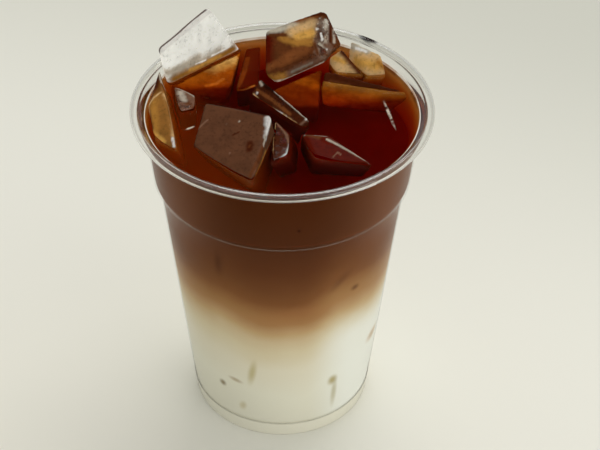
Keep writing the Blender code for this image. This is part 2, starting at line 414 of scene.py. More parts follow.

# The ice: each packed block, melted smooth, rippled, and painted with frost, painted highlights, painted shade and the
# light that shines through it
ice = {
    "voxel": 0.46 * mm,
    "meltSteps": 3,
    "ripple": 0.13 * mm,      # depth of the broad ripples
    "rippleSize": 7 * mm,
    "pits": 0.03 * mm,        # depth of the small pits
    "pitSize": 1.3 * mm,
    "ior": 1.31,
    "tint": (0.99, 0.985, 0.975),
    "shadow": (0.9, 0.88, 0.84),  # what its shadow lets through
    "wetness": 0.12,          # roughness of the wet film
    "gloss": 0.03,
    "backLight": 0.75,        # how much of the light from behind pale ice takes
    "dullness": 0.22,
    # painted light: each cube's tone is the light, coffee and sheen seen in it, with some frost
    "body": {                 # tone of each cube, and how much it hides what is behind it
        "ice_front_left": ("smoke", 1.0), "ice_back_left": ("white", 1.0), "ice_back_left_low": ("amber", 0.8),
        "ice_back": ("brown", 0.8), "ice_back_small": ("wine", 0.6), "ice_right": ("umber", 1.0),
        "ice_right_low": ("rust", 0.6), "ice_middle": ("umber", 0.85), "ice_left": ("honey", 0.9),
        "ice_front_right": ("wine", 1.0), "ice_back_right": ("cream", 1.0), "ice_far_right": ("cream", 1.0),
        "ice_middle_small": ("umber", 0.6), "ice_left_small": ("tan", 0.6),
    },
    # painted light: white and pale strokes are painted glints and highlights, dark ones painted shade along edges, the
    # rest light and coffee seen through the ice, with some frost
    "strokes": {              # over that, along a path: tone, how solid, radius and corners in mm
        "ice_front_left": [
            ("tan", 1.0, 1.61, [(-3.9, -16.9, 114.7), (-9.2, -36.8, 115.4)]),
            ("brown", 1.0, 0.58, [(-5.7, -21.4, 119.6), (-10.8, -35.9, 115.9)]),
            ("umber", 1.0, 0.52, [(-6.3, -25.2, 117), (-9.2, -35.2, 116.2)]),
            ("amber", 1.0, 0.65, [(-5.1, -20.6, 116.7), (-8.1, -32.7, 115.8)]),
            ("cream", 1.0, 0.35, [(-3.3, -14.6, 114.6), (-5.7, -24.1, 114.6), (-7.8, -32.5, 114),
                                  (-9.5, -37.4, 115.1)]),
            ("white", 1.0, 1.03, [(-4.5, -11.7, 123.3), (-4.5, -13.9, 122.6)]),
            ("white", 1.0, 0.77, [(-3.6, -11.2, 122.6), (-4.5, -15.7, 121.6), (-5.1, -18.6, 120.6)]),
            ("frost", 1.0, 0.45, [(-5.1, -18, 121), (-5.7, -21.4, 119.6)]),
            ("dark", 1.0, 0.45, [(-24.6, -1.3, 121.4), (-14.8, -5.2, 122.3), (-5.2, -10.3, 123.5)]),
            ("umber", 1.0, 0.39, [(-24.7, -1.4, 121.3), (-26.3, -8.8, 119.2), (-27.1, -12.7, 118)]),
            ("umber", 1.0, 0.97, [(-10.1, -20.5, 120), (-10.3, -22.7, 119.4)]),
            ("frost", 1.0, 0.32, [(-13.7, -11.1, 121.7)]),
            ("umber", 1.0, 0.29, [(-15.5, -16.2, 120), (-13.6, -15.4, 120.6)]),
            ("tan", 1.0, 0.29, [(-17.8, -11.4, 120.7)]),
            ("tan", 1.0, 0.39, [(-16.3, -23, 118)]),
            ("tan", 1.0, 0.32, [(-26.8, -11.2, 118.4), (-23.9, -8.5, 120.2)]),
            ("umber", 1.0, 0.84, [(-10.1, -20.5, 120), (-10.3, -22.7, 119.4)]),
            ("brown", 1.0, 0.32, [(-10.1, -21.2, 119.8), (-10.4, -21.9, 119.6)]),
        ],
        "ice_left": [
            ("amber", 1.0, 1.94, [(-41.9, 0.6, 119.8), (-40.1, -9.3, 117.6)]),
            ("umber", 1.0, 2.26, [(-40.3, 14.3, 123.2), (-41.6, 7.5, 121.3)]),
            ("brown", 1.0, 0.97, [(-41.9, 6.8, 121), (-43, 0, 118.2), (-41.4, -8.3, 116.2)]),
            ("cream", 1.0, 0.32, [(-39.2, 4.9, 121.6), (-41.7, 3.1, 120.5), (-43.1, 0.5, 119.1),
                                  (-42.3, -3.5, 117.4)]),
            ("honey", 0.9, 1.29, [(-38.6, -0.2, 120.5), (-37.5, -11.1, 118.1)]),
            ("cream", 1.0, 0.77, [(-37.8, 3.9, 121.1), (-36.1, -1.6, 117.5), (-34.2, -13.6, 117.6)]),
            ("frost", 1.0, 0.45, [(-40.3, 14, 123.2), (-39.1, 9.5, 122.3), (-37.9, 13.7, 114.9)]),
            ("white", 1.0, 0.52, [(-34.4, -14.9, 117.8), (-34, -18.2, 117.1)]),
            ("yellow", 1.0, 0.77, [(-41.1, -10.1, 116.6), (-37.3, -15.6, 116.7)]),
            ("tan", 0.9, 0.39, [(-40.8, -11.7, 115.5), (-37.9, -16.6, 115.5), (-34.6, -18.7, 115.5)]),
        ],
        "ice_left_small": [
            ("brown", 0.8, 1.29, [(-32.1, 8.1, 117), (-28, 3.4, 116.3)]),
            ("frost", 0.9, 0.97, [(-33.5, 11.2, 117.2), (-32, 7.1, 116.9)]),
            ("tan", 0.9, 0.84, [(-30.1, 8.7, 117), (-28.7, 5.1, 116.7)]),
            ("frost", 1.0, 0.39, [(-34.3, 13.6, 117.1), (-31.9, 12.4, 116.8), (-28.9, 9.4, 116.9)]),
        ],
        "ice_back_left": [
            ("white", 0.8, 1.61, [(-38.9, 15.3, 126.9), (-33.6, 19.1, 126)]),
            ("shell", 0.7, 1.61, [(-37.6, 16.4, 121.1), (-32.5, 20.7, 121), (-28.1, 24.7, 121.5)]),
            ("white", 0.45, 1.29, [(-21.6, 30.9, 133.2), (-17.6, 35.1, 123.3), (-15.8, 37, 118.8)]),
            ("umber", 1.0, 0.65, [(-40.2, 17, 128.9), (-38.6, 19.3, 130.6), (-34.5, 22.8, 132.2),
                                  (-30.1, 28.3, 133.7), (-25.6, 32.3, 135.4)]),
            ("shell", 0.9, 2.26, [(-35.1, 18.5, 119.3), (-28.8, 24.3, 119), (-21.7, 30.8, 119.1)]),
            ("amber", 1.0, 1.61, [(-35.8, 18.1, 117.6), (-30.1, 23.3, 117.3), (-23, 29.8, 117.4),
                                  (-16.8, 35.7, 117.9)]),
            ("yellow", 1.0, 0.77, [(-30.7, 22.7, 118.1), (-26.3, 26.8, 117.7), (-21.1, 31.6, 117.8)]),
            ("white", 1.0, 0.32, [(-28.8, 24.3, 119.4), (-25.6, 27.3, 119)]),
            ("white", 1.0, 0.39, [(-23.6, 29, 119.5), (-19.7, 32.7, 119.4), (-17.7, 34.7, 119.8)]),
        ],
        "ice_back": [
            ("brown", 0.9, 2.58, [(-3.5, 20, 121.6), (-0.9, 24.6, 125.7)]),
            ("rust", 0.9, 1.94, [(0.5, 21.2, 122.4), (7.1, 25, 125.5)]),
            ("wine", 1.0, 1.94, [(-5.2, 27.6, 128.4), (-5.1, 21.5, 123)]),
            ("shell", 1.0, 0.97, [(-4.8, 28.8, 129.6), (-0.2, 29.6, 129.9), (4.4, 31.3, 130.8)]),
            ("cream", 1.0, 1.77, [(3.1, 29, 129.1), (9.7, 31.7, 130.6)]),
            ("yellow", 1.0, 1.61, [(5.1, 27.8, 127.9), (9.7, 29.2, 128.6)]),
            ("amber", 0.9, 1.1, [(-0.2, 27.2, 127.9), (4.4, 26.1, 126.7), (9.1, 26.7, 126.7)]),
            ("brown", 1.0, 0.52, [(-4.2, 27.7, 128.7), (1.1, 28.1, 128.5)]),
            ("clear", 0.3, 2.58, [(13.7, 31.7, 129), (13.4, 26.9, 123.5)]),
            ("rust", 1.0, 1.1, [(4.7, 32.6, 131.5), (8.6, 34.1, 132.3), (12.4, 34.8, 132.9)]),
            ("umber", 1.0, 1.03, [(13.1, 35.6, 133), (15.4, 35.3, 130.9), (17.2, 34.1, 127.4)]),
            ("umber", 1.0, 0.58, [(8.2, 34, 132.2), (13.7, 34.8, 132.5)]),
            ("brown", 1.0, 0.45, [(15.8, 33.8, 129.2), (16.5, 30, 123.8)]),
            ("frost", 0.5, 0.71, [(14.4, 33.4, 130.3), (14.1, 28.6, 124.7)]),
            ("umber", 0.9, 0.52, [(15.8, 34.3, 129.7), (15.8, 30, 124.6)]),
            ("frost", 0.6, 0.52, [(17.1, 33.5, 127.1), (17.2, 30.9, 124)]),
            ("white", 1.0, 0.55, [(12.7, 29.8, 127.9), (13.1, 29, 126.4)]),
            ("white", 1.0, 0.42, [(11.4, 30.5, 129.4)]),
            ("white", 1.0, 0.39, [(14.8, 27.9, 123.2)]),
            ("shell", 1.0, 0.39, [(12.1, 27.3, 125.6), (13.8, 27.7, 124.1)]),
            ("tan", 0.9, 0.84, [(14.1, 28.3, 124.5), (16.1, 29.2, 123.1)]),
            ("brown", 1.0, 0.71, [(10.7, 26.5, 126.1), (11.7, 25, 123.1)]),
            ("rust", 1.0, 1.1, [(-5.7, 19.8, 120.2), (0.1, 21.6, 122.9), (6.4, 24.4, 125.1)]),
            ("amber", 0.9, 1.29, [(-4.2, 18.5, 117.8), (1.1, 19.2, 118.2)]),
            ("tan", 1.0, 1.29, [(2.5, 19.8, 118.6), (5.8, 21.4, 119.9), (11.4, 24.3, 121.2)]),
            ("grey", 1.0, 0.45, [(3.1, 20.1, 119.2), (9.8, 23.5, 120.5)]),
            ("brown", 1.0, 0.35, [(-5.4, 19.1, 119.2), (1.8, 20.5, 121.3), (8.4, 23.1, 123.2)]),
            ("umber", 1.0, 0.32, [(-1.1, 18.4, 116.3), (4, 20.9, 117.2), (11.4, 24.7, 118.5)]),
            ("frost", 1.0, 0.39, [(-3.5, 18.6, 117.1), (1.7, 19.6, 116.9), (9, 23.4, 118.1), (13.8, 25.6, 119.5)]),
        ],
        "ice_back_right": [
            ("yellow", 1.0, 0.97, [(17.2, 28.8, 119), (20.5, 26.8, 118.8)]),
            ("brown", 1.0, 1.16, [(19.9, 29.6, 120.9), (22.5, 26.9, 119.1), (25.5, 23.6, 116.9)]),
            ("umber", 1.0, 0.58, [(19.9, 29.9, 121.1), (23.1, 27.1, 118.9), (26.2, 23.4, 116.7)]),
        ],
        "ice_far_right": [
            ("shell", 1.0, 1.29, [(23.3, 33.1, 121), (28.6, 30.1, 121.4)]),
            ("white", 1.0, 0.52, [(24.6, 31.7, 121.1), (27.9, 29.9, 121.1)]),
            ("yellow", 1.0, 1.94, [(24.6, 28.6, 117.6), (31.1, 24.7, 118.6)]),
            ("amber", 1.0, 0.97, [(31.8, 25.7, 119.5), (33.9, 24.7, 117.8)]),
            ("white", 1.0, 0.58, [(32.5, 22.2, 115.5), (34.2, 22.5, 115.7)]),
        ],
        "ice_right": [
            ("umber", 1.0, 1.1, [(14.4, 20.3, 117.9), (22.3, 18.2, 117.8), (32.1, 15.4, 117.4), (40, 12.9, 116.6)]),
            ("brown", 1.0, 0.65, [(15.7, 18.3, 116.5), (21.6, 16.7, 116.4)]),
            ("cream", 1.0, 0.32, [(13.4, 18.4, 116), (17.7, 17.3, 116), (22.9, 16, 116.1)]),
            ("rust", 0.9, 0.32, [(22.9, 15.7, 115.9), (32.1, 13.4, 116), (40.5, 12.4, 116.3)]),
        ],
        "ice_middle": [
            ("rust", 0.9, 0.58, [(-8.3, 11.3, 118), (-3.4, 5.8, 118), (2.4, -1.4, 117.5)]),
            ("dark", 1.0, 0.84, [(-6, 11.7, 120.2), (-0.2, 5, 119.7), (5.6, -2.1, 118.9)]),
            ("frost", 1.0, 0.45, [(-2.2, 7.9, 119.9), (0.3, 4.8, 119.5), (2.6, 1.8, 119.2)]),
            ("shell", 1.0, 0.39, [(2.6, 1.8, 119.2), (8.4, -5.3, 117.9)]),
            ("frost", 1.0, 0.45, [(-7.6, 14, 119.9), (-6.7, 11.8, 119.7)]),
            ("cream", 1.0, 0.42, [(-9.6, 10.9, 116.7), (-6.7, 6.8, 115.6), (-0.8, 0.7, 116.4), (4.4, -5.2, 116.3)]),
            ("white", 1.0, 0.32, [(-4, 4, 116.1), (-0.1, 0.1, 116.5)]),
            ("tan", 1.0, 0.48, [(5.6, -6.1, 116.6), (8.1, -5, 118.4)]),
            ("white", 1.0, 0.39, [(-8.3, 10.5, 117.4)]),
            ("white", 1.0, 0.39, [(-4.7, 4.7, 116)]),
            ("white", 1.0, 0.39, [(1.2, -1.5, 116.4)]),
            ("white", 1.0, 0.42, [(7.5, -5.1, 118.2)]),
        ],
        "ice_middle_small": [
            ("umber", 0.7, 1.61, [(-2, -13.7, 117), (-0.7, -21.6, 116.7)]),
            ("tan", 0.9, 0.45, [(-2, -5.1, 117), (1.2, -11.5, 117), (2.1, -16.3, 116.6)]),
            ("white", 1.0, 0.65, [(-2.6, -25, 116.4), (-0.4, -24.2, 116.2), (1.8, -21, 116.6), (2.4, -16.3, 115.8)]),
            ("cream", 1.0, 0.35, [(-2.4, -5.9, 116.8), (-3, -15.1, 116.4), (-3.5, -24.3, 116.3)]),
        ],
        "ice_front_right": [
            ("brown", 1.0, 0.97, [(7.4, -11.9, 117.1), (11.3, -13.7, 117.4)]),
            ("frost", 1.0, 0.39, [(6.8, -11.8, 117), (9.9, -12.1, 117.1), (13.8, -12.8, 117.3)]),
            ("shell", 1.0, 0.39, [(14.1, -14.7, 117.4), (20.6, -20.2, 117.2), (27.2, -26.1, 116.3)]),
            ("white", 1.0, 0.42, [(7.2, -11.8, 117.1)]),
            ("white", 1.0, 0.39, [(10.6, -12.4, 117.2)]),
            ("white", 1.0, 0.61, [(27.5, -26.3, 116.1)]),
            ("rust", 1.0, 0.32, [(9.9, -22.6, 116.2), (17.9, -25.7, 115.9), (25.4, -26.7, 116)]),
            ("tan", 0.9, 0.23, [(15.8, -23.1, 116.7), (17.4, -21, 117.1), (18.3, -22.4, 116.9)]),
        ],
    },
}
iceNames = sorted(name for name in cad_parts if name.startswith("ice_"))
contact = {"rise": 0.5 * mm, "reach": 1.0 * mm, "wallRise": 0.7 * mm}  # how the drink creeps up what stands in it


def iceLooks():
    above = Look("wetIce")
    tone = above.node("ShaderNodeAttribute", {"attribute_name": "tone"}, out="Color")
    solid = above.node("ShaderNodeAttribute", {"attribute_name": "solid"}, out="Fac")
    fine = above.noise(900, 3, 0.6)
    broad = above.noise(170, 2, 0.5)
    normal = above.bump(broad + fine * 0.15, 0.35 * mm, 0.3)
    clear = above.node("ShaderNodeBsdfPrincipled", sockets={
        "Base Color": (*ice["tint"], 1), "Roughness": 0.02, "IOR": ice["ior"],
        "Transmission Weight": 1.0, "Normal": normal})
    patches = above.step(above.noise(420, 4, 0.65), 0.3, 0.7)
    pale = above.node("ShaderNodeSeparateColor", sockets={0: tone}, out="Green")
    blue = above.node("ShaderNodeSeparateColor", sockets={0: tone}, out="Blue")
    dull = (above.step(above.noise(260, 4, 0.6), 0.35, 0.7) + above.step(fine, 0.52, 0.66)) * ice["dullness"]
    # painted light: the palest tones also glow by Emission, though no lamp
    body = above.node("ShaderNodeBsdfPrincipled", sockets={
        "Base Color": above.mixColors(dull, tone, (0, 0, 0)), "Roughness": ice["wetness"], "IOR": ice["ior"],
        "Specular IOR Level": ice["gloss"], "Normal": normal,
        "Emission Color": above.mixColors(pale ** 4.0, (0, 0, 0), tone), "Emission Strength": 1.0})
    # light from behind takes on the tone, made up of so much white, so much yellow and the rest black
    yellow, white = tones["yellow"], tones["white"]
    whole = yellow[1] * white[2] - white[1] * yellow[2]
    warmShare = ((pale * white[2] - blue * white[1]) * (1 / whole)).atLeast(0.0)
    whiteShare = ((blue * yellow[1] - pale * yellow[2]) * (1 / whole)).atLeast(0.0)
    both = warmShare + whiteShare
    lit = above.mixShaders(whiteShare / both, above.backLit(yellow, Normal=normal), above.backLit(white, Normal=normal))
    lit = above.mixShaders(both * (1.0 - dull), above.matte((0, 0, 0)), lit)
    body = above.mixShaders(pale * ice["backLight"], body, lit)
    share = ((solid + patches - 1.0) * 1.5 + solid).atMost(1.0).atLeast(0.0)
    above.surface(above.lightThrough(above.mixShaders(share, clear, body), ice["shadow"]))

    below = Look("sunkIce")
    below.surface(below.clear())
    return [above, below]


def meltedBlock(name):
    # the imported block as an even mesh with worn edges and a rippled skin
    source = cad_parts[name].data
    bm = bmesh.new()
    bm.from_mesh(source)
    bmesh.ops.remove_doubles(bm, verts=bm.verts, dist=0.01 * mm)
    block = newPiece(name + "_cube", bm, [])
    remesh = block.modifiers.new("even", "REMESH")
    remesh.mode = "VOXEL"
    remesh.voxel_size = ice["voxel"]
    melt = block.modifiers.new("melt", "SMOOTH")
    melt.iterations = ice["meltSteps"]
    melt.factor = 0.5
    evaluated(block)
    top = cadBox[1][2]
    bm = bmesh.new()
    bm.from_mesh(block.data)
    bm.normal_update()
    for vert in bm.verts:
        broad = noise.noise(vert.co / ice["rippleSize"])
        fine = noise.noise(vert.co / ice["pitSize"] + Vector((7, 3, 1)))
        vert.co += vert.normal * (broad * ice["ripple"] + fine * ice["pits"] - 0.5 * ice["ripple"])
        vert.co.z = min(vert.co.z, top)
    bm.to_mesh(block.data)
    bm.free()
    return block


def splitAtContact(block):
    # below the line where the drink creeps up, the ice has the sunk look
    height = level + contact["rise"]
    bm = bmesh.new()
    bm.from_mesh(block.data)
    bmesh.ops.bisect_plane(bm, geom=bm.verts[:] + bm.edges[:] + bm.faces[:], dist=1e-7,
                           plane_co=(0, 0, height), plane_no=(0, 0, 1))
    for face in bm.faces:
        face.smooth = True
        face.material_index = 0 if face.calc_center_median().z > height else 1
    bm.to_mesh(block.data)
    bm.free()


def distanceTo(place, normal, path):
    # measured along the skin, so that what has melted off counts for little
    best = 1.0
    for start, end in zip(path, path[1:] or path):
        along = end - start
        share = (place - start).dot(along) / max(along.length_squared, 1e-12)
        away = place - start - along * max(0.0, min(1.0, share))
        off = away.dot(normal)
        best = min(best, (away - normal * off).length + 0.25 * abs(off))
    return best


def paint(data, points, body, strokes):
    # tone and solid share of each point: the body's own, and the strokes over it in their order
    if "tone" not in data.attributes:
        data.attributes.new("tone", "FLOAT_COLOR", "POINT")
        data.attributes.new("solid", "FLOAT", "POINT")
    tone, solid = data.attributes["tone"], data.attributes["solid"]
    ready = []
    for name, share, radius, corners in strokes:
        path = [Vector(corner) * mm for corner in corners]
        middle = (path[0] + path[-1]) / 2
        reach = max((corner - middle).length for corner in path) + 1.6 * radius * mm
        ready.append((Vector(tones[name]), share, radius * mm, path, middle, reach))
    for index in points:
        place, normal = data.vertices[index].co, data.vertices[index].normal
        color, hides = Vector(tones[body[0]]), body[1]
        worn = 1 + 0.3 * noise.noise(place / (1.1 * mm))
        for over, share, radius, path, middle, reach in ready:
            if (place - middle).length < reach:
                soft = 0.7 if radius < 0.6 * mm else 1.2
                cover = max(0.0, min(1.0, 0.5 + (1 - worn * distanceTo(place, normal, path) / radius) / soft))
                color = color.lerp(over, cover)
                hides += (share - hides) * cover
        tone.data[index].color = (*color, 1)
        solid.data[index].value = hides


def buildIce():
    looks = iceLooks()
    blocks = []
    for name in iceNames:
        block = meltedBlock(name)
        for look in looks:
            block.data.materials.append(look.material)
        blocks.append(block)
    return blocks


def finishIce(blocks):
    for name, block in zip(iceNames, blocks):
        splitAtContact(block)
        paint(block.data, range(len(block.data.vertices)), ice["body"][name], ice["strokes"].get(name, []))
        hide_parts(name)
        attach(block, "root")
    print("ice done,", sum(len(b.data.polygons) for b in blocks), "faces")


# The drink, its skin just inside the sheet of the cup
drink = {
    "sides": 256,
    "ringStep": 0.6 * mm,
    "intoWall": 0.25 * mm,
    "seam": 0.3 * mm,         # a layer ends this far over its CAD one
    "room": 0.04 * mm,        # between a cube and the hollow it sits in
    "ior": 1.34,
    "absorb": (0.97, 0.70, 0.10),  # what the coffee lets through, against its density
    "density": 500.0,
    "layers": [               # height in mm and color, from the foot up
        (4, srgb(226, 223, 206)), (20, srgb(232, 229, 211)), (34, srgb(229, 222, 200)), (43, srgb(219, 206, 174)),
        (48, srgb(209, 189, 153)), (53, srgb(192, 160, 118)), (58, srgb(168, 127, 84)), (63, srgb(152, 110, 70)),
        (68, srgb(128, 84, 51)), (74, srgb(112, 71, 43)), (82, srgb(96, 57, 34)), (94, srgb(82, 46, 27)),
        (110, srgb(77, 39, 18)),
    ],
    # painted light: the milk's lighter, whiter colour on the right, where the light falls
    "litRight": srgb(244, 246, 240),
    "warm": srgb(134, 88, 62),
    "marks": [                # on the side: place and half size in mm, lean in degrees, color, share
        ((-20.3, -25.7, 20.8), (1.7, 5, 2.2), 0, srgb(128, 108, 70), 0.8),
        ((-15.8, -29.2, 25.5), (3.6, 5, 1.5), 10, srgb(160, 135, 95), 0.6),
        ((-10.0, -32.2, 32.0), (2.0, 6, 9.0), 8, srgb(186, 172, 118), 0.7),
        ((-13.4, -28.9, 12.8), (1.9, 5, 3.4), 12, srgb(186, 170, 120), 0.5),
        ((17.4, -27.9, 24.5), (2.4, 5, 3.6), 0, srgb(168, 150, 84), 0.8),
        ((18.0, -26.8, 17.5), (1.5, 6, 10.5), 3, srgb(176, 166, 126), 0.6),
        ((31.0, -12.6, 33.0), (4.5, 8, 4.0), 25, srgb(188, 150, 98), 0.7),
        ((23.9, -29.2, 68.1), (2.0, 5, 1.9), 0, srgb(80, 44, 28), 0.6),
        ((5.2, -42.6, 102.8), (0.9, 4, 0.9), 0, srgb(38, 16, 8), 0.9),
        ((-20.4, -34.0, 82.0), (2.2, 6, 8.0), 0, srgb(62, 34, 22), 0.45),
        ((19.0, -33.5, 74.5), (8.0, 6, 2.4), -48, srgb(84, 50, 36), 0.4),
        ((4.0, -36.0, 62.0), (22.0, 10, 5.5), -8, srgb(176, 120, 78), 0.25),
    ],
    "glow": (0.85, 0.62, 0.35),   # daylight that comes in through the wall
    "inner": (0.82, 0.45, 0.16),  # the side and the milky layer below, seen through the coffee
    "through": 0.45,          # share of the first of those two
    "gloss": 0.06,            # how much of its mirror shows
    "clearDepth": 20 * mm,    # below that the coffee is cloudy
    "deep": (0.95, 0.08, 0.02),
    "gap": 0.02 * mm,         # between the clear coffee and the cloudy
    "murkGlow": (0.50, 0.075, 0.002),  # painted glow: matte brownish red on the surface, for light glowing in the coffee
    "paintedLight": (0.004, 0.11),    # how much of it shows, least and more to the left
    "glintStreak": 0.8,            # how solid they are
    "glintStreaks": [              # painted glints and frost where ice meets the surface: place and half size in mm, turn in degrees
        ((34.6, 0.5), (9.5, 0.7, 2), -79),
        ((-29.6, -7.2), (2.4, 0.6, 2), 35),
    ],
    # painted light: what shows of each sunk cube through the coffee
    "sunk": {                 # tone of each cube seen through the coffee, and how solid
        "ice_front_left": ("brown", 0.8), "ice_back_left": ("honey", 0.5), "ice_back_left_low": ("amber", 0.95),
        "ice_back": ("rust", 0.7), "ice_back_small": ("wine", 0.8), "ice_right": ("amber", 0.9),
        "ice_right_low": ("rust", 0.9), "ice_middle": ("wine", 0.8), "ice_left": ("honey", 0.7),
        "ice_front_right": ("wine", 0.85), "ice_back_right": ("amber", 0.8), "ice_far_right": ("amber", 0.9),
        "ice_middle_small": ("wine", 0.85), "ice_left_small": ("wine", 0.7),
    },
    # painted light on the sunk ice: frost with painted highlights, and amber light showing through
    "strokes": {
        "ice_back_left_low": [
            ("yellow", 1.0, 2.26, [(-17, 37.2, 113.2), (-14.5, 39, 113.2)]),
            ("frost", 1.0, 2.58, [(-23, 28.2, 114.6), (-17.1, 31.9, 114.5)]),
            ("white", 1.0, 1.77, [(-23.8, 30.4, 113.2), (-20.5, 33.5, 113.2), (-16.4, 33, 114.5)]),
            ("cream", 0.9, 0.58, [(-25.4, 18.7, 113.2), (-22.1, 19.7, 113.3), (-19.8, 22.5, 113.5)]),
            ("rust", 0.8, 1.61, [(-25.8, 17.5, 105.7), (-16.8, 25.6, 101.5)]),
        ],
        "ice_back_small": [
            ("rust", 0.9, 0.97, [(-11.7, 34.1, 114.8), (-12.9, 25.7, 114.7), (-14.7, 17.6, 114.5)]),
            ("cream", 0.9, 0.45, [(-15.3, 17.3, 113.1), (-12.7, 16.5, 113), (-9.4, 17.9, 114.3)]),
        ],
        "ice_right": [
            ("amber", 0.9, 1.94, [(14.4, 15.8, 114.1), (22.2, 13, 113.5)]),
        ],
        "ice_right_low": [
            ("amber", 0.9, 1.94, [(5.8, 21.5, 114.3), (11.8, 18.7, 113.4)]),
        ],
    },
}
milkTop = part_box("milk")[1].z
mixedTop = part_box("mixed")[1].z
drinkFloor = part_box("milk")[0].z


def skinRadius(height):
    return wallRadius(height) - cup["wall"] + drink["intoWall"]


def absorption(look):
    return look.node("ShaderNodeVolumeAbsorption", sockets={
        "Color": (*drink["absorb"], 1), "Density": drink["density"]})


def skinLook(name, withVolume):
    look = Look(name)
    height = look.axis("Z")
    across = look.axis("X")
    clouds = look.noise(30, 3, 0.5, (1, 1, 1.8)) - 0.5
    wisps = look.noise(85, 4, 0.6, (1, 1, 0.5)) - 0.5
    # the milk stands higher left and right of the middle
    rise = look.step(across, -5 * mm, -20 * mm) * (4 * mm) + look.step(across, 6 * mm, 20 * mm) * (8 * mm)
    lifted = height - rise + look.step(across, 22 * mm, 36 * mm) * (3 * mm) + clouds * (9 * mm) + wisps * (2.5 * mm)
    share = look.node("ShaderNodeMapRange", sockets={
        "Value": lifted, "From Min": 0.0, "From Max": level})
    color = look.node("ShaderNodeValToRGB", {"stops": [
        (place * mm / level, part) for place, part in drink["layers"]]}, {"Fac": share})
    aside = look.step(across * across, (9 * mm) ** 2, (36 * mm) ** 2) * look.step(height, 70 * mm, 90 * mm)
    color = look.mixColors(aside * 0.6, color, drink["warm"])
    # painted light: the milk lighter and whiter towards the right, where the light falls
    white = look.step(across, 8 * mm, 24 * mm) * look.step(lifted, 50 * mm, 36 * mm)
    color = look.mixColors(white * 0.75, color, drink["litRight"])
    for place, size, lean, tone, part in drink["marks"]:
        mark = look.spot([c * mm for c in place], [c * mm for c in size], (0, radians(lean), 0), 0.1)
        color = look.mixColors(mark * part, color, tone)
    skin = look.matte(color)
    if not withVolume:
        return look.surface(skin)
    inside = look.mixShaders(drink["through"], look.matte(drink["inner"]), look.backLit(drink["glow"]))
    backSide = look.node("ShaderNodeNewGeometry", out="Backfacing")
    look.surface(look.mixShaders(backSide, skin, inside))
    return look.volume(absorption(look))


def drinkLooks():
    top = Look("coffeeTop")
    bent = top.node("ShaderNodeBsdfRefraction", sockets={"IOR": drink["ior"], "Roughness": 0.0})
    mirror = top.node("ShaderNodeBsdfGlossy", sockets={"Roughness": 0.02})
    gloss = top.node("ShaderNodeFresnel", sockets={"IOR": drink["ior"]}) * drink["gloss"]
    wet = top.lightThrough(top.mixShaders(gloss, bent, mirror), (1, 1, 1))
    # painted glints: frosty pale streaks on the surface where ice just breaks it
    glints = 0.0
    for (x, y), size, turn in drink["glintStreaks"]:
        glintStreak = top.spot((x * mm, y * mm, level), [c * mm for c in size], (0, 0, radians(turn)))
        glints = glintStreak.atLeast(glints)
    glints = glints * top.step(top.noise(520, 3, 0.6), 0.38, 0.62)
    # painted glow on the surface, faint everywhere and more to the left
    left = top.step(top.axis("X") + top.axis("Y") * 0.5, -13 * mm, -38 * mm)
    least, atLeft = drink["paintedLight"]
    paintedLight = (left * atLeft + least) * (0.7 + 0.6 * top.noise(90, 3, 0.5))
    cloudy = top.mixShaders(paintedLight, wet, top.matte(drink["murkGlow"]))
    top.surface(top.mixShaders(glints * drink["glintStreak"], cloudy, top.matte(tones["frost"])))
    top.volume(absorption(top))

    hollow = Look("coffeeOnIce")
    clear = hollow.node("ShaderNodeBsdfRefraction", sockets={"IOR": drink["ior"] / ice["ior"], "Roughness": 0.0})
    tone = hollow.node("ShaderNodeAttribute", {"attribute_name": "tone"}, out="Color")
    solid = hollow.node("ShaderNodeAttribute", {"attribute_name": "solid"}, out="Fac")
    cloudy = hollow.step(hollow.noise(160, 4, 0.6), 0.25, 0.75)
    crackle = hollow.step(hollow.noise(430, 5, 0.7), 0.38, 0.62)
    color = hollow.mixColors(cloudy * 0.4 + crackle * 0.25, tone, tones["umber"])
    fromCoffee = hollow.node("ShaderNodeNewGeometry", out="Backfacing")
    hollow.surface(hollow.mixShaders(solid * fromCoffee, hollow.lightThrough(clear, (1, 1, 1)), hollow.matte(color)))
    hollow.volume(absorption(hollow))

    bottom = Look("coffeeBottom")
    bottom.surface(bottom.clear())
    bottom.volume(absorption(bottom))
    return [top, hollow, skinLook("coffeeSide", True), bottom]


def shoreline(blocks):
    # points on every cube where the drink's level meets it
    points = []
    for block in blocks:
        bm = bmesh.new()
        bm.from_mesh(block.data)
        cut = bmesh.ops.bisect_plane(bm, geom=bm.verts[:] + bm.edges[:] + bm.faces[:], dist=1e-7,
                                     plane_co=(0, 0, level + 0.5 * contact["rise"]), plane_no=(0, 0, 1))
        points += [part.co.copy() for part in cut["geom_cut"] if isinstance(part, bmesh.types.BMVert)]
        bm.free()
    tree = kdtree.KDTree(len(points))
    for index, point in enumerate(points):
        tree.insert((point.x, point.y, 0), index)
    tree.balance()
    return tree


def surfaceHeight(x, y, shore, edge):
    toIce = shore.find((x, y, 0))[2]
    toWall = max(0.0, edge - (x * x + y * y) ** 0.5)
    creep = contact["rise"] * exp(-toIce / contact["reach"])
    climb = contact["wallRise"] * exp(-toWall / contact["reach"])
    return level + max(creep, climb)


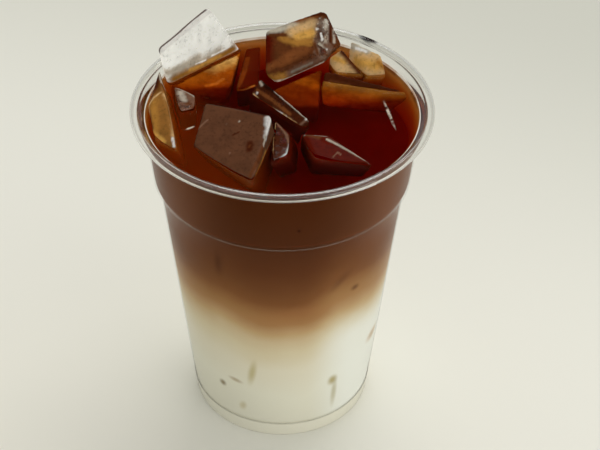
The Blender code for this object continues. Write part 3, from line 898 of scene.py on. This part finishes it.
def cloudyBody():
    # the lower coffee, which the eye can't look into, up to where the clear coffee starts
    bottom = mixedTop + drink["seam"]
    outline = [(0, bottom), (skinRadius(bottom), bottom)]
    ledge = cup["ledgeHeight"]
    rise = cup["ledgeRise"]
    outline += [(skinRadius(z * mm), z * mm) for z in (76, 80, 84, 88, 92)]
    outline += sCurve((skinRadius(ledge - rise), ledge), (skinRadius(ledge + rise), ledge + 2 * rise))
    top = level - drink["clearDepth"]
    outline += [(skinRadius(top), top), (0, top)]
    deep = Look("coffeeDeep")
    tone = deep.mixColors(deep.noise(60, 3, 0.6), drink["deep"], [part * 0.6 for part in drink["deep"]])
    deep.surface(deep.matte(tone))
    slots = [0] * (len(outline) - 2) + [1, 1]
    return newPiece("coffee_deep", turnedMesh(outline, drink["sides"], slots), [skinLook("deepSide", False), deep])


def coffeeBody(blocks):
    shore = shoreline(blocks)
    edge = skinRadius(level)
    bottom = level - drink["clearDepth"] + drink["gap"]
    outline = [(0, bottom), (skinRadius(bottom), bottom)]
    outline += [(skinRadius(z * mm), z * mm) for z in (96.3, 98, 101, 105, 109, 112, 114, 115)]
    outline.append((skinRadius(level + contact["wallRise"]), level + contact["wallRise"]))
    rings = int(edge / drink["ringStep"])
    outline += [(edge * i / rings, level) for i in range(rings - 1, 0, -1)] + [(0, level)]
    bm = turnedMesh(outline, drink["sides"])
    for vert in bm.verts:
        if abs(vert.co.z - level) < 0.01 * mm:
            vert.co.z = surfaceHeight(vert.co.x, vert.co.y, shore, edge)
    return newPiece("coffee_drink", bm, drinkLooks())


def cutHollows(body, blocks):
    joined = bmesh.new()
    owners = []
    for name, block in zip(iceNames, blocks):
        start = len(joined.verts)
        joined.from_mesh(block.data)
        owners += [name] * (len(joined.faces) - len(owners))
        joined.verts.ensure_lookup_table()
        joined.normal_update()
        for vert in joined.verts[start:]:
            vert.co += vert.normal * drink["room"]
    cutter = newPiece("hollows", joined, [])
    cut = body.modifiers.new("hollows", "BOOLEAN")
    cut.operation = "DIFFERENCE"
    cut.solver = "MANIFOLD"
    cut.object = cutter
    evaluated(body)
    mesh = cutter.data
    hollows = BVHTree.FromPolygons([v.co for v in mesh.vertices], [list(p.vertices) for p in mesh.polygons])
    bpy.data.objects.remove(cutter)
    return hollows, owners


def sortFaces(body, hollows, owners):
    # 0 the open surface, 1 against the ice, 2 the side, 3 the bottom; returns the points against each cube
    bottom = level - drink["clearDepth"] + 0.05 * mm
    against = {name: set() for name in iceNames}
    for face in body.data.polygons:
        face.use_smooth = True
        middle = face.center
        radius = (middle.x ** 2 + middle.y ** 2) ** 0.5
        away = hollows.find_nearest(middle, 0.1 * mm)
        if away[0] is not None and away[3] < 0.02 * mm and away[1].dot(face.normal) < -0.7:
            face.material_index = 1
            against[owners[away[2]]].update(face.vertices)
        elif middle.z < bottom:
            face.material_index = 3
        elif radius > skinRadius(middle.z) - 0.12 * mm and face.normal.z < 0.3:
            face.material_index = 2
        else:
            face.material_index = 0
    body.data.set_sharp_from_angle(angle=radians(60))
    return against


def buildDrink(blocks):
    body = coffeeBody(blocks)
    hollows, owners = cutHollows(body, blocks)
    for name, points in sortFaces(body, hollows, owners).items():
        paint(body.data, points, drink["sunk"][name], drink["strokes"].get(name, []))
    for piece in (body, cloudyBody()):
        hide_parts("coffee")
        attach(piece, "root")

    lowLook = skinLook("milkySide", False)
    seam = drink["seam"]
    layers = (("mixed", milkTop + seam, mixedTop + seam), ("milk", drinkFloor - drink["intoWall"], milkTop + seam))
    for name, low, high in layers:
        heights = [low + (high - low) * i / 6 for i in range(7)]
        outline = [(0, low)] + [(skinRadius(z), z) for z in heights] + [(0, high)]
        layer = newPiece(name + "_drink", turnedMesh(outline, drink["sides"]), [lowLook])
        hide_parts(name)
        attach(layer, "root")
    triangles = sum(len(face.vertices) - 2 for face in body.data.polygons)
    print("drink done,", triangles, "triangles in the coffee")


# Floor, light and camera
stage = {
    "floor": srgb(233, 232, 223),
    # painted shade: the floor darker towards the back and the right
    "floorFalloff": srgb(198, 198, 188),
    # painted shadow: the cup's soft shadow at the front left
    "floorShadow": srgb(202, 195, 172),
    "floorCloud": srgb(214, 212, 200),
    "floorSize": 6.0,
    "lamps": {                # place, aimed at, size, power, color
        "softBox": ((0.22, 0.50, 1.15), (0, 0, 0.05), (0.9, 0.7), 6.2, (1.0, 0.985, 0.955)),
        "window": ((1.6, -1.4, 0.55), (0, 0, 0.05), (1.4, 0.9), 10.0, (1.0, 0.99, 0.965)),
    },
    "sky": (0.65, 0.652, 0.63),
}
view = {
    "place": Vector((0.0, -438.06, 429.81)) * mm,
    "aim": Vector((6.09, 0.0, 70.26)) * mm,
    "roll": 0.673,            # degrees
    "lens": 100.0,
    "sensor": 36.0,
}


def buildStage():
    bm = bmesh.new()
    bmesh.ops.create_grid(bm, x_segments=2, y_segments=2, size=stage["floorSize"] / 2)
    look = Look("paleFloor")
    shade = look.noise(2.2, 2, 0.5)
    tone = look.mixColors(shade * 0.2, stage["floor"], stage["floorCloud"])
    # painted shade: darker towards the back and right
    tone = look.mixColors(look.step(look.axis("Y") + look.axis("X") * 0.45, 0.02, 0.34), tone, stage["floorFalloff"])
    # painted shadow of the cup, front left
    near = look.step(look.axis("X"), 0.02, -0.3) * look.step(look.axis("Y"), 0.12, -0.2)
    tone = look.mixColors(near, tone, stage["floorShadow"])
    look.surface(look.node("ShaderNodeBsdfPrincipled", sockets={
        "Base Color": tone, "Roughness": 0.55, "IOR": 1.3}))
    floor = newPiece("tableTop", bm, [look])

    for name, (place, towards, size, power, color) in stage["lamps"].items():
        lamp = bpy.data.lights.new(name, "AREA")
        lamp.shape = "RECTANGLE"
        lamp.size, lamp.size_y = size
        lamp.energy = power
        lamp.color = color
        light = bpy.data.objects.new(name, lamp)
        light.location = place
        light.rotation_euler = (Vector(towards) - Vector(place)).to_track_quat("-Z", "Y").to_euler()
        scene.collection.objects.link(light)
    world = bpy.data.worlds.new("studio")
    world.use_nodes = True
    background = world.node_tree.nodes["Background"]
    background.inputs["Color"].default_value = (*stage["sky"], 1)
    background.inputs["Strength"].default_value = 1.0
    scene.world = world
    scene.view_settings.view_transform = "Standard"
    print("stage done")


def buildCamera():
    data = bpy.data.cameras.new("camera")
    data.lens = view["lens"]
    data.sensor_width = view["sensor"]
    data.clip_start = 0.01
    camera = bpy.data.objects.new("camera", data)
    turn = (view["aim"] - view["place"]).to_track_quat("-Z", "Y").to_matrix()
    turn = turn @ Matrix.Rotation(radians(view["roll"]), 3, "Z")
    camera.matrix_world = Matrix.Translation(view["place"]) @ turn.to_4x4()
    scene.collection.objects.link(camera)
    scene.camera = camera


buildStage()
buildCamera()
buildCup()
cubes = buildIce()
buildDrink(cubes)
finishIce(cubes)
